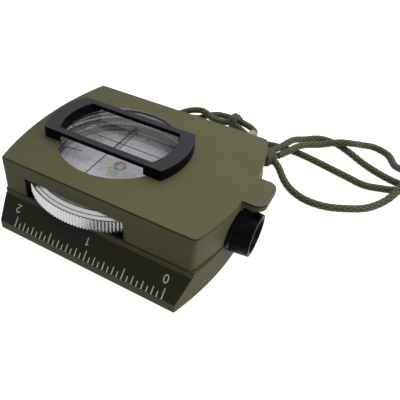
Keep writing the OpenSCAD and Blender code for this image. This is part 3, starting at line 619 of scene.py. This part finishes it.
# Grey ink for the dial's faint print, and for the painted shade of each groove on the bezel
GREY_INK_AND_GROOVE_SHADE = mark_paint("grey_ink_and_groove_shade", (0.2, 0.2, 0.21))
BRAID = braid_fabric("lanyard_braid", (0.004, 0.005, 0.0015), (0.13, 0.14, 0.045))

NODE_MATERIALS = {
    OLIVE: ["bottom_plate"],
    BLACK: ["lanyard_eye", "eyepiece_bracket", "eyepiece_barrel", "lens_retainer"],
    BRIGHT: ["bezel_ring", "crystal_retainer"],
    STEEL: ["bottom_screws", "capsule_screws", "pivot_needle", "bezel_washer", "bracket_screws",
            "cell_clip", "cell_pin", "hinge_pins", "window_ring", "sight_screws"],
    DULL_STEEL: ["lanyard_tip"],
    BRASS: ["tripod_bush", "fill_plug", "pivot_post"],
    CUP: ["capsule_cup", "lens_cell"],
    CREAM: ["bezel_scale"],
    CARD: ["dial_card"],
    MAGNET: ["dial_magnet"],
    JEWEL: ["dial_jewel"],
    GLOW_PAINT: ["dial_arrow"],
    GLASS: ["sight_port", "sight_prism", "eyepiece_lens"],
    PANE: ["capsule_crystal", "lid_window"],
    RUBBER: ["crystal_gasket"],
}

for material, names in NODE_MATERIALS.items():
    for name in names:
        set_material(NODES[name], material)


# Rounded edges of the painted shells

TINY = 0.01
CORNER_WIDTH = 1.2


def round_edges(shape, width, segments, wanted):
    """Rounds the edges of a mesh that are sharper than 25 degrees and that a test picks out."""
    edges = [
        e for e in shape.edges
        if len(e.link_faces) == 2 and e.calc_face_angle(0) > math.radians(25)
        and wanted(*[np.array(v.co) / MM for v in e.verts])
    ]
    bmesh.ops.bevel(shape, geom=edges, offset=width * MM, offset_type="OFFSET", segments=segments,
                    profile=0.5, affect="EDGES", clamp_overlap=False)


def softened(node, body, material, width, wanted, corner=None):
    """A copy of a CAD node in the node's place, with the edges that the tests pick out rounded.

    wanted picks out the edges for the given width, and corner those for the wider rounding.
    """
    mesh = NODES[node].data.copy()
    mesh.name = node + "_soft"
    shape = bmesh.new()
    shape.from_mesh(mesh)
    bmesh.ops.remove_doubles(shape, verts=shape.verts, dist=0.002 * MM)
    bmesh.ops.dissolve_limit(shape, angle_limit=math.radians(0.5), verts=shape.verts, edges=shape.edges)
    if corner:
        round_edges(shape, CORNER_WIDTH, 5, corner)
    round_edges(shape, width, 3, wanted)
    shape.to_mesh(mesh)
    shape.free()
    mesh.polygons.foreach_set("use_smooth", [True] * len(mesh.polygons))
    mesh.set_sharp_from_angle(angle=math.radians(28))
    obj = link(bpy.data.objects.new(node + "_soft", mesh))
    obj.modifiers.new("even_shading", "WEIGHTED_NORMAL").keep_sharp = True
    set_material(obj, material)
    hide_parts(node)
    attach(obj, body)


def nearer_end(a, b):
    """The distance from the dial's axis of the nearer end of an edge."""
    return min(math.hypot(*a[:2]), math.hypot(*b[:2]))


def lid_upright(a, b):
    """An upright corner of the lid."""
    return abs(a[2] - b[2]) > 3 and min(abs(a[1]), abs(b[1])) > FACE_Y


def lid_edge(a, b):
    """The outline of the lid's upper face and the four upright corners."""
    on_top = min(a[2], b[2]) > LID_TOP - TINY and nearer_end(a, b) > WINDOW_R + 1
    return on_top or lid_upright(a, b)


def lid_corner(a, b):
    """The two upright corners at the eyepiece end of the lid."""
    return lid_upright(a, b) and a[0] > 0


def base_edge(a, b):
    """The long edges of the rulers and the seam, and the outer parts of the underside's outline."""
    along = min(abs(a[1]), abs(b[1])) > RIM_Y - 0.5
    low_rim = max(a[2], b[2]) < TINY and nearer_end(a, b) > 40
    return along or low_rim


def frame_edge(a, b):
    """The upper edges of the sight frame."""
    return min(a[2], b[2]) > LID_TOP + 3


def knob_edge(a, b):
    """The edges of the knob's free end."""
    return min(a[0], b[0]) > KNOB_END - 5 * TINY


softened("lid_shell", "lid", OLIVE_LID, 0.3, lid_edge, lid_corner)
softened("base_housing", "base", OLIVE_BASE_SHADED, 0.2, base_edge)
softened("sight_frame", "lid", FRAME_GREY, 0.15, frame_edge)
softened("focus_ring", "focus_knob", KNOB_BLACK, 0.12, knob_edge)


# Scales, figures and lines

def arc(x, y, across, up, start, end, steps=12):
    """Points on part of an ellipse, with its half width and half height."""
    angles = np.radians(np.linspace(start, end, steps + 1))
    return [(x + across * math.cos(a), y + up * math.sin(a)) for a in angles]


def ring(radius, steps):
    """Points on a circle about the dial's axis."""
    return arc(0, 0, radius, radius, 0, 360, steps)


# Strokes of each figure, one high, from its lower left corner
FIGURE_W = 0.6
FIGURE_STEP = 0.82
SIX = [arc(0.3, 0.31, 0.27, 0.31, 0, 360), [(0.03, 0.36), (0.1, 0.7), (0.42, 1)]]
FIGURES = {
    "0": [arc(0.3, 0.5, 0.28, 0.5, 0, 360)],
    "1": [[(0.1, 0.78), (0.34, 1), (0.34, 0)]],
    "2": [arc(0.3, 0.72, 0.28, 0.28, 165, -35, 8) + [(0.02, 0), (0.6, 0)]],
    "3": [arc(0.27, 0.76, 0.26, 0.24, 150, -90, 8) + arc(0.28, 0.27, 0.3, 0.27, 90, -150, 8)],
    "4": [[(0.44, 0), (0.44, 1), (0, 0.3), (0.62, 0.3)]],
    "5": [[(0.54, 1), (0.1, 1), (0.06, 0.58)] + arc(0.27, 0.32, 0.3, 0.32, 110, -150, 9)],
    "6": SIX,
    "7": [[(0, 1), (0.6, 1), (0.2, 0)]],
    "8": [arc(0.3, 0.76, 0.23, 0.24, 0, 360), arc(0.3, 0.26, 0.28, 0.26, 0, 360)],
    "9": [[(FIGURE_W - x, 1 - y) for x, y in stroke] for stroke in SIX],
}


def figures(text, height, middle, turn):
    """The strokes of a number, centred on a point and turned by an angle in degrees."""
    width = FIGURE_STEP * (len(text) - 1) + FIGURE_W
    c, s = math.cos(math.radians(turn)), math.sin(math.radians(turn))
    strokes = []
    for i, figure in enumerate(text):
        for stroke in FIGURES[figure]:
            flat = [
                (height * (x + i * FIGURE_STEP - width / 2), height * (y - 0.5)) for x, y in stroke
            ]
            strokes.append([(middle[0] + c * x - s * y, middle[1] + s * x + c * y) for x, y in flat])
    return strokes


def radial(angle, inner, outer):
    """A stroke along a radius of a round scale."""
    c, s = math.cos(math.radians(angle)), math.sin(math.radians(angle))
    return [(inner * c, inner * s), (outer * c, outer * s)]


def stroke_sides(points, start_w, end_w):
    """The left and right edges of a stroke, mitred at its bends."""
    points = np.array(points, float)
    steps = np.diff(points, axis=0)
    steps /= np.linalg.norm(steps, axis=1, keepdims=True)
    closed = np.allclose(points[0], points[-1])
    before = np.vstack([steps[-1] if closed else steps[0], steps])
    after = np.vstack([steps, steps[0] if closed else steps[-1]])
    middle = before + after
    middle /= np.linalg.norm(middle, axis=1, keepdims=True)
    square = np.stack([-middle[:, 1], middle[:, 0]], axis=1)
    stretch = 1 / np.clip(np.sum(middle * after, axis=1), 0.5, 1)
    half = np.linspace(start_w, end_w, len(points)) / 2 * stretch
    return points + square * half[:, None], points - square * half[:, None]


def stroke_marks(name, strokes, place, material, body, lift=0.04):
    """Low raised marks, one for each stroke, as (points, start width, end width).

    place turns two flat coordinates and a height into a point of the frame.
    """
    sink = 0.06
    points, faces = [], []
    for line, start_w, end_w in strokes:
        left, right = stroke_sides(line, start_w, end_w)
        first = len(points)
        for a, b in zip(left, right):
            points += [place(*a, lift), place(*b, lift), place(*b, -sink), place(*a, -sink)]
        for i in range(len(line) - 1):
            n = first + 4 * i
            faces += [(n + k, n + (k + 1) % 4, n + 4 + (k + 1) % 4, n + 4 + k) for k in range(4)]
        last = len(points) - 4
        faces += [(first, first + 3, first + 2, first + 1), (last, last + 1, last + 2, last + 3)]
    obj = new_mesh(name, points, faces)
    face_outwards(obj.data)
    set_material(obj, material)
    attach(obj, body)


def even(lines, width):
    """Strokes of one even width."""
    return [(line, width, width) for line in lines]


def bevel_place(zero_x, side):
    """Maps a distance along a ruler and one up its bevel to the frame; side is -1 at the front."""
    along = np.array([side, 0, 0])
    up = BEVEL_SLOPE * [1, side, 1]
    out = np.array([0, side * up[2], -side * up[1]])
    start = np.array([zero_x, side * FOOT_Y, FOOT_H])

    def place(u, v, height):
        return start + u * along + v * up + height * out

    return place


def ruler(name, zero_x, side, length, spacing, tick_lengths, figure_every):
    """A ruler on a bevel: tapered ticks from the foot up, and figures above the long ones.

    tick_lengths lists (every, length), the first that divides a tick's number being its own.
    """
    tick_foot, foot_w, tip_w = 0.12, 0.38, 0.26
    figure_h, figure_line, figure_shift, figure_rise = 2.3, 0.32, 0.7, 5.7
    strokes = []
    for i in range(round(length / spacing) + 1):
        tick = next(t for every, t in tick_lengths if i % every == 0)
        strokes.append(([(i * spacing, tick_foot), (i * spacing, tick)], foot_w, tip_w))
        if i % figure_every == 0:
            middle = (i * spacing + figure_shift, -figure_rise)
            number = figures(str(i // figure_every), figure_h, middle, 0)
            strokes += even([[(u, -v) for u, v in line] for line in number], figure_line)
    stroke_marks(name, strokes, bevel_place(zero_x, side), MARKS, "base")


ruler("inch_ruler", INCH_ZERO_X, -1, 2 * INCH, INCH / 16, [(8, 3.3), (2, 2.5), (1, 1.8)], 16)
ruler("centimetre_ruler", CM_ZERO_X, 1, 50, 1, [(10, 3.3), (5, 2.5), (1, 1.8)], 10)


def flat_place(height):
    """Maps to a level plane at a height."""
    return lambda x, y, lift: np.array([x, y, height + lift])


def cone_place(x, y, lift):
    """A point on the bezel's cone."""
    share = (CONE_R - math.hypot(x, y)) / (CONE_R - CONE_TOP_R)
    return (x, y, CONE_Z + share * (SCALE_TOP - CONE_Z) + lift)


def bezel_marks():
    """Dark rings on the bezel's cone that are painted shade, one for each groove, and ticks and figures
    on its graduated ring.
    """
    tick_end, short_tick, long_tick = SCALE_R - 3.1, SCALE_R - 2.8, SCALE_R - 2.6
    ticks = [radial(a, tick_end, short_tick if a % 10 else long_tick) for a in range(0, 360, 5)]
    figure_h, figure_r = 1.3, SCALE_R - 2
    numbers = [
        stroke
        for a in range(0, 360, 20)
        for stroke in figures(str(a), figure_h, radial(90 - a, 0, figure_r)[1], -a)
    ]
    # Painted shade: dark rings on the cone, one for each groove
    shade_rings = [ring(r, 120) for r in (CONE_R - 0.7, CONE_R - 2.1)]
    stroke_marks("bezel_groove_shade", even(shade_rings, 0.2), cone_place, GREY_INK_AND_GROOVE_SHADE, "bezel")
    stroke_marks("bezel_figures", even(ticks, 0.2) + even(numbers, 0.3), flat_place(SCALE_TOP), INK,
                 "bezel")


def dial_marks():
    """Ticks, figures and rings on the dial, and a faint rose of circles and rays."""
    tick_start, short_tick, long_tick = DIAL_R - 0.15, DIAL_R - 0.9, DIAL_R - 1.6
    ticks = [radial(a, short_tick if a % 10 else long_tick, tick_start) for a in range(0, 360, 2)]
    figure_h, figure_r = 1.4, DIAL_R - 3
    numbers = [
        stroke
        for a in range(0, 360, 30)
        for stroke in figures(str(a), figure_h, radial(90 - a, 0, figure_r)[1], -a)
    ]
    rings = [ring(r, 96) for r in (DIAL_R - 1.9, DIAL_R - 4.7)]
    stroke_marks("dial_figures", even(ticks, 0.13) + even(numbers, 0.17) + even(rings, 0.1),
                 flat_place(DIAL_TOP), INK, "dial", lift=0.03)
    ray_start, ray_end = 3.5, DIAL_R - 4.8
    faint = [ring(r, 72) for r in (6.5, 11)]
    faint += [radial(a, ray_start, ray_end) for a in range(15, 375, 30)]
    stroke_marks("dial_rose", even(faint, 0.09), flat_place(DIAL_TOP), GREY_INK_AND_GROOVE_SHADE, "dial",
                 lift=0.02)


def pivot_cap():
    """The domed cap over the jewel, with a rolled rim."""
    profile = [(0.6, 0.72), (1.2, 0.6), (1.6, 0.42), (1.85, 0.32), (2.05, 0.32), (2.15, 0.2),
               (2.15, 0.02), (1.2, 0.02), (1.2, -1.0)]
    around = 48
    points = [
        (r * math.cos(2 * math.pi * k / around), r * math.sin(2 * math.pi * k / around), DIAL_TOP + z)
        for r, z in profile
        for k in range(around)
    ]
    faces = [
        (i * around + k, i * around + (k + 1) % around, (i + 1) * around + (k + 1) % around,
         (i + 1) * around + k)
        for i in range(len(profile) - 1)
        for k in range(around)
    ]
    faces.append(tuple(range(around)))
    faces.append(tuple(len(points) - 1 - k for k in range(around)))
    cap = new_mesh("pivot_cap", points, faces, smooth=True)
    face_outwards(cap.data)
    cap.data.set_sharp_from_angle(angle=math.radians(50))
    set_material(cap, BRONZE)
    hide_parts("dial_hub")
    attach(cap, "dial")


def window_marks():
    """Hair lines on the window, and the sighting arrow with its hatched stem and double head."""
    line_x, line_y = 0.1, -0.65
    half_x = math.sqrt(WINDOW_R**2 - line_y**2) - 0.1
    front_y = -math.sqrt(WINDOW_R**2 - line_x**2) + 0.2
    tip_y = 9.2
    short_line = [(-12.8, -11.3), (-6.9, -10.2)]
    hair = [[(-half_x, line_y), (half_x, line_y)], [(line_x, front_y), (line_x, tip_y)], short_line]

    stem_x, stem_half = 0.9, 0.95
    left, right = stem_x - stem_half, stem_x + stem_half
    stem_low, stem_high, rungs = -3.4, 5.7, 9
    rise = (stem_high - stem_low) / rungs
    stem = [[(x, stem_low), (x, stem_high)] for x in (left, right)]
    stem += [[(left, stem_low + i * rise), (right, stem_low + (i + 1) * rise)] for i in range(rungs)]

    head = [[(stem_x - 1.5, stem_high - 0.2), (stem_x - 0.4, tip_y), (stem_x + 1.8, stem_high + 0.1)],
            [(stem_x - 0.7, stem_high), (stem_x - 0.2, tip_y - 1.4), (stem_x + 1, stem_high + 0.2)]]
    dot = arc(line_x, front_y + 0.3, 0.2, 0.2, 0, 360, 8)
    strokes = even(hair, 0.36) + even(stem, 0.24) + even(head, 0.6) + even([dot], 0.5)
    stroke_marks("window_lines", strokes, flat_place(PANE_TOP), INK, "lid", lift=0.01)


bezel_marks()
dial_marks()
pivot_cap()
window_marks()


# The lanyard

def smooth_path(route):
    """Points about CORD_STEP apart on a smooth curve through the route, and their places along it."""
    points = [np.array(p, float) for p in route]
    points = [2 * points[0] - points[1]] + points + [2 * points[-1] - points[-2]]
    dense = []
    for a, b, c, d in zip(points, points[1:], points[2:], points[3:]):
        for t in np.linspace(0, 1, 24, endpoint=False):
            dense.append(0.5 * (2 * b + (c - a) * t + (2 * a - 5 * b + 4 * c - d) * t**2
                                + (3 * b - a - 3 * c + d) * t**3))
    dense.append(points[-2])
    dense = np.array(dense)
    along = np.concatenate([[0], np.cumsum(np.linalg.norm(np.diff(dense, axis=0), axis=1))])
    places = np.linspace(0, along[-1], round(along[-1] / CORD_STEP) + 1)
    return np.stack([np.interp(places, along, dense[:, k]) for k in range(3)], axis=1), places


def cross_frames(path):
    """A side and an up direction at each point of a path, carried along without twisting."""
    ahead = np.gradient(path, axis=0)
    ahead /= np.linalg.norm(ahead, axis=1, keepdims=True)
    first = np.cross([0, 0, 1.0], ahead[0])
    if np.linalg.norm(first) < 0.2:
        first = np.cross([1.0, 0, 0], ahead[0])
    sides = [first]
    for way in ahead[1:]:
        sides.append(sides[-1] - way * np.dot(sides[-1], way))
        sides[-1] = sides[-1] / np.linalg.norm(sides[-1])
    sides[0] = first / np.linalg.norm(first)
    side = np.array(sides)
    return side, np.cross(ahead, side)


def braid_height(turn, place):
    """How high the braid stands, from 0 to 1, at a part of a turn and a place along the cord."""
    twist = place / (BRAID_PITCH * BRAID_STRANDS / 2)
    u = BRAID_STRANDS * (turn + twist)
    v = BRAID_STRANDS * (turn - twist)
    swap_u = np.where(np.floor(u) % 2 == 0, 1, -1)
    swap_v = np.where(np.floor(v) % 2 == 0, 1, -1)
    round_u = np.sqrt(np.clip(1 - (2 * (u % 1) - 1) ** 2, 0, 1))
    round_v = np.sqrt(np.clip(1 - (2 * (v % 1) - 1) ** 2, 0, 1))
    over_u = 0.6 * round_u + 0.3 * swap_u * np.sin(np.pi * v)
    over_v = 0.6 * round_v - 0.3 * swap_v * np.sin(np.pi * u)
    return np.clip(np.maximum(over_u, over_v) / 0.9, 0, 1)


def braided_tube(name, path, places, radius):
    """A braided tube along a path, with the height of its strands kept for the material."""
    side, up = cross_frames(path)
    around = BRAID_AROUND
    turn = np.arange(around) / around
    heights = braid_height(turn[None, :], places[:, None])
    reach = radius - BRAID_DEPTH * (1 - heights)
    angle = 2 * np.pi * turn
    points = (path[:, None, :]
              + reach[:, :, None] * (np.cos(angle)[None, :, None] * side[:, None, :]
                                     + np.sin(angle)[None, :, None] * up[:, None, :]))
    rings = len(path)
    faces = [
        (i * around + k, i * around + (k + 1) % around,
         (i + 1) * around + (k + 1) % around, (i + 1) * around + k)
        for i in range(rings - 1)
        for k in range(around)
    ]
    faces.append(tuple(range(around - 1, -1, -1)))
    faces.append(tuple((rings - 1) * around + k for k in range(around)))
    obj = new_mesh(name, points.reshape(-1, 3).tolist(), faces, smooth=True)
    strand = obj.data.attributes.new("strand", "FLOAT", "POINT")
    strand.data.foreach_set("value", heights.reshape(-1).astype(np.float32))
    set_material(obj, BRAID)
    return obj


def lay_cord(node, route):
    """A stretch of the lanyard along its route."""
    path, places = smooth_path(route)
    obj = braided_tube(node + "_braid", path, places, CORD_D / 2)
    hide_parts(node)
    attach(obj, "base")
    centre = [[x * MM for x in point] for point in path]
    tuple(centre[0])


def bind(node, at, turn, count):
    """Turns of the cord wound side by side round the runs, with both ends tucked in.

    The coil has spare parts of a turn at both ends, which are tucked in to a share of its radius.
    """
    c, s = math.cos(math.radians(turn)), math.sin(math.radians(turn))
    along, across = np.array([c, s, 0]), np.array([-s, c, 0])
    coil_r = BIND_R - CORD_D / 2 + 0.04
    spare, tuck_turns, tucked = 0.25, 0.35, 0.45
    steps = np.linspace(-spare, count + spare, 60 * count)
    tuck = np.clip(np.minimum(steps + spare, count + spare - steps) / tuck_turns, 0, 1)
    radius = coil_r * (tucked + (1 - tucked) * np.sin(tuck * math.pi / 2))
    coil_l = (count - 1) * BIND_PITCH
    shift = np.clip(steps / count, 0, 1) * coil_l - coil_l / 2
    angle = 2 * math.pi * steps
    path = (np.array(at) + shift[:, None] * along + (radius * np.cos(angle))[:, None] * across
            + (radius * np.sin(angle))[:, None] * np.array([0, 0, 1.0]))
    path, places = smooth_path(path)
    obj = braided_tube(node + "_braid", path, places, CORD_D / 2 - 0.05)
    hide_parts(node)
    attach(obj, "base")
    return obj


knot = bind("lanyard_knot", KNOT_AT, KNOT_TURN, 3)
wrap = bind("lanyard_wrap", WRAP_AT, WRAP_TURN, 2)
lay_cord("lanyard_eye_loop", EYE_LOOP)
lay_cord("lanyard_front_loop", FRONT_LOOP)
lay_cord("lanyard_rear_run", REAR_RUN)
lay_cord("lanyard_inner_loop", INNER_LOOP)

bpy.context.scene.view_settings.view_transform = "Standard"
